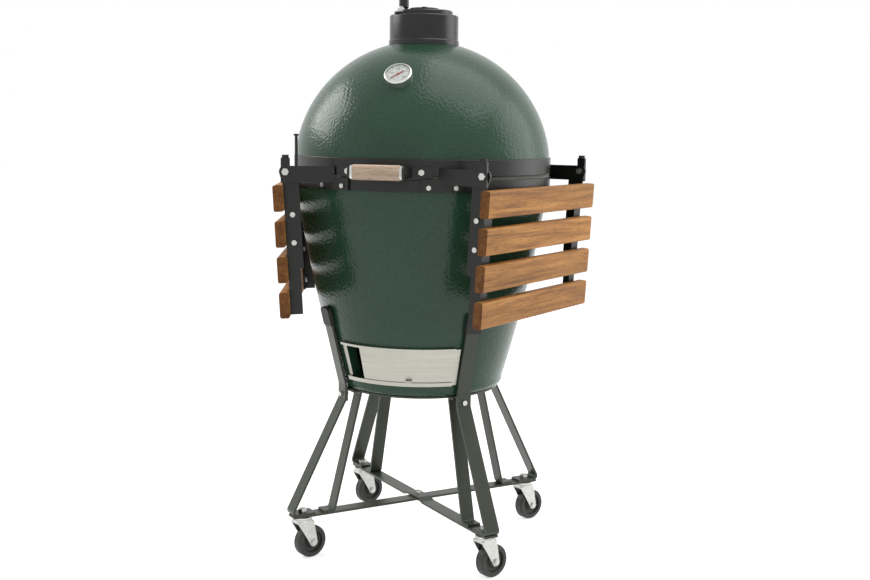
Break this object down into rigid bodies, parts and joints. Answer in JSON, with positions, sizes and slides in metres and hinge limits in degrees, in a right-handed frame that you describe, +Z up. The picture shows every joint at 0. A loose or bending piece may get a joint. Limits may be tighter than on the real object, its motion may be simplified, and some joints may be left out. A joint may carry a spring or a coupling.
{
  "type": "kamado ceramic grill",
  "caption": "Egg-shaped ceramic charcoal grill with a hinged dome, chimney cap, draft door, wheeled steel stand and two fold-down wooden side shelves.",
  "frame": {"origin": "on the floor, on the vertical axis of the ceramic body", "axes": "+Z up; -Y towards the front, where the handle, thermometer and draft door are; the lid's hinge is at +Y; +X to the right of someone who faces the front"},
  "size_m": [0.72, 0.6868, 1.2162],
  "materials": {
    "glaze": "dimpled glossy dark green glaze",
    "fire_clay": "unglazed refractory fire clay",
    "felt": "pressed white felt",
    "black_steel": "satin black powder coat",
    "grey_steel": "dark grey-green powder coat, satin",
    "stainless": "brushed stainless steel",
    "cast_iron": "black enamelled cast iron",
    "zinc": "bright zinc plating",
    "spring_steel": "bright spring steel",
    "hardwood": "oiled reddish hardwood",
    "handle_wood": "oiled light hardwood",
    "black_plastic": "matte black plastic",
    "wheel_rubber": "dark grey soft tread on a moulded core",
    "dial_white": "white enamel dial",
    "needle_red": "red enamel needle",
    "lens_glass": "clear flat glass"
  },
  "bodies": {
    "base": {"base_shell": "glaze", "fire_box": "fire_clay", "fire_grate": "cast_iron", "fire_ring": "fire_clay", "cooking_grid": "stainless", "cooking_grid_bars": "stainless", "base_gasket": "felt", "lower_band": "black_steel", "draft_frame": "stainless", "hinge_bracket": "black_steel", "hinge_pin": "zinc", "legs_outer": "grey_steel", "legs_inner": "grey_steel", "leg_caps": "black_plastic", "caster_stems": "zinc", "cross_straps": "grey_steel", "stand_ring": "grey_steel", "stand_bolts": "zinc", "shelf_brackets": "black_steel", "base_fasteners": "zinc"},
    "dome": {"dome_shell": "glaze", "dome_gasket": "felt", "upper_band": "black_steel", "hinge_arms": "black_steel", "handle_brackets": "black_steel", "handle_grip": "handle_wood", "dome_fasteners": "zinc", "thermometer_case": "stainless", "thermometer_dial": "dial_white", "thermometer_lens": "lens_glass", "cap_sleeve": "cast_iron", "cap_pivot_bolt": "zinc"},
    "slide_lid": {"slide_lid": "cast_iron", "lid_knob": "cast_iron"},
    "daisy_wheel": {"daisy_wheel": "cast_iron"},
    "pointer": {"thermometer_pointer": "needle_red"},
    "lift_springs": {"spring_rods": "zinc", "lid_springs": "spring_steel"},
    "draft_door": {"draft_door": "stainless"},
    "draft_screen": {"draft_screen": "stainless"},
    "shelf_left": {"slat_left_1": "hardwood", "slat_left_2": "hardwood", "slat_left_3": "hardwood", "slat_left_4": "hardwood", "shelf_arms_left": "black_steel", "shelf_bolts_left": "zinc"},
    "shelf_right": {"slat_right_1": "hardwood", "slat_right_2": "hardwood", "slat_right_3": "hardwood", "slat_right_4": "hardwood", "shelf_arms_right": "black_steel", "shelf_bolts_right": "zinc"},
    "caster_front_left": {"caster_fork_front_left": "zinc"},
    "wheel_front_left": {"caster_wheel_front_left": "wheel_rubber"},
    "caster_front_right": {"caster_fork_front_right": "zinc"},
    "wheel_front_right": {"caster_wheel_front_right": "wheel_rubber"},
    "caster_rear_right": {"caster_fork_rear_right": "zinc"},
    "wheel_rear_right": {"caster_wheel_rear_right": "wheel_rubber"},
    "caster_rear_left": {"caster_fork_rear_left": "zinc"},
    "wheel_rear_left": {"caster_wheel_rear_left": "wheel_rubber"}
  },
  "joints": [
    {"name": "lid_hinge", "type": "hinge", "parent": "base", "child": "dome", "pos_m": [0, 0.31, 0.83805], "axis": [-1, 0, 0], "range_deg": [0, 75]},
    {"name": "lift_slide", "type": "slide", "parent": "base", "child": "lift_springs", "axis": [0, 0, -1], "range_m": [0, 0.0439], "deforming": ["lid_springs"]},
    {"name": "chimney_lid_swing", "type": "hinge", "parent": "dome", "child": "slide_lid", "pos_m": [-0.03731, -0.04952, 1.168], "axis": [0, 0, 1], "range_deg": [0, 110]},
    {"name": "daisy_wheel_turn", "type": "hinge", "parent": "slide_lid", "child": "daisy_wheel", "pos_m": [0, 0, 1.177], "axis": [0, 0, 1], "range_deg": [0, 36]},
    {"name": "pointer_turn", "type": "hinge", "parent": "dome", "child": "pointer", "pos_m": [0.00733, -0.20982, 1.03201], "axis": [-0.0252, 0.7226, -0.6908], "range_deg": [0, 260]},
    {"name": "draft_door_slide", "type": "hinge", "parent": "base", "child": "draft_door", "pos_m": [0, 0, 0.441], "axis": [0, 0, 1], "range_deg": [-18, 0]},
    {"name": "draft_screen_slide", "type": "hinge", "parent": "base", "child": "draft_screen", "pos_m": [0, 0, 0.441], "axis": [0, 0, 1], "range_deg": [-18, 0]},
    {"name": "shelf_right_fold", "type": "hinge", "parent": "base", "child": "shelf_right", "pos_m": [0.26799, -0.0845, 0.83505], "axis": [-0.3007, -0.9537, 0], "range_deg": [0, 93.2]},
    {"name": "shelf_left_fold", "type": "hinge", "parent": "base", "child": "shelf_left", "pos_m": [-0.26799, -0.0845, 0.83505], "axis": [-0.3007, 0.9537, 0], "range_deg": [0, 93.2]},
    {"name": "swivel_front_left", "type": "hinge", "parent": "base", "child": "caster_front_left", "pos_m": [-0.20153, -0.20153, 0.085], "axis": [0, 0, 1], "continuous": true},
    {"name": "roll_front_left", "type": "hinge", "parent": "caster_front_left", "child": "wheel_front_left", "pos_m": [-0.19051, -0.18654, 0.035], "axis": [-0.8059, 0.592, 0], "continuous": true},
    {"name": "swivel_front_right", "type": "hinge", "parent": "base", "child": "caster_front_right", "pos_m": [0.20153, -0.20153, 0.085], "axis": [0, 0, 1], "continuous": true},
    {"name": "roll_front_right", "type": "hinge", "parent": "caster_front_right", "child": "wheel_front_right", "pos_m": [0.21254, -0.18654, 0.035], "axis": [-0.8059, 0.592, 0], "continuous": true},
    {"name": "swivel_rear_right", "type": "hinge", "parent": "base", "child": "caster_rear_right", "pos_m": [0.20153, 0.20153, 0.085], "axis": [0, 0, 1], "continuous": true},
    {"name": "roll_rear_right", "type": "hinge", "parent": "caster_rear_right", "child": "wheel_rear_right", "pos_m": [0.21254, 0.21652, 0.035], "axis": [-0.8059, 0.592, 0], "continuous": true},
    {"name": "swivel_rear_left", "type": "hinge", "parent": "base", "child": "caster_rear_left", "pos_m": [-0.20153, 0.20153, 0.085], "axis": [0, 0, 1], "continuous": true},
    {"name": "roll_rear_left", "type": "hinge", "parent": "caster_rear_left", "child": "wheel_rear_left", "pos_m": [-0.19051, 0.21652, 0.035], "axis": [-0.8059, 0.592, 0], "continuous": true}
  ],
  "couplings": [
    {"joint": "lift_slide", "follows": "lid_hinge", "m_per_rad": 0.033484}
  ]
}
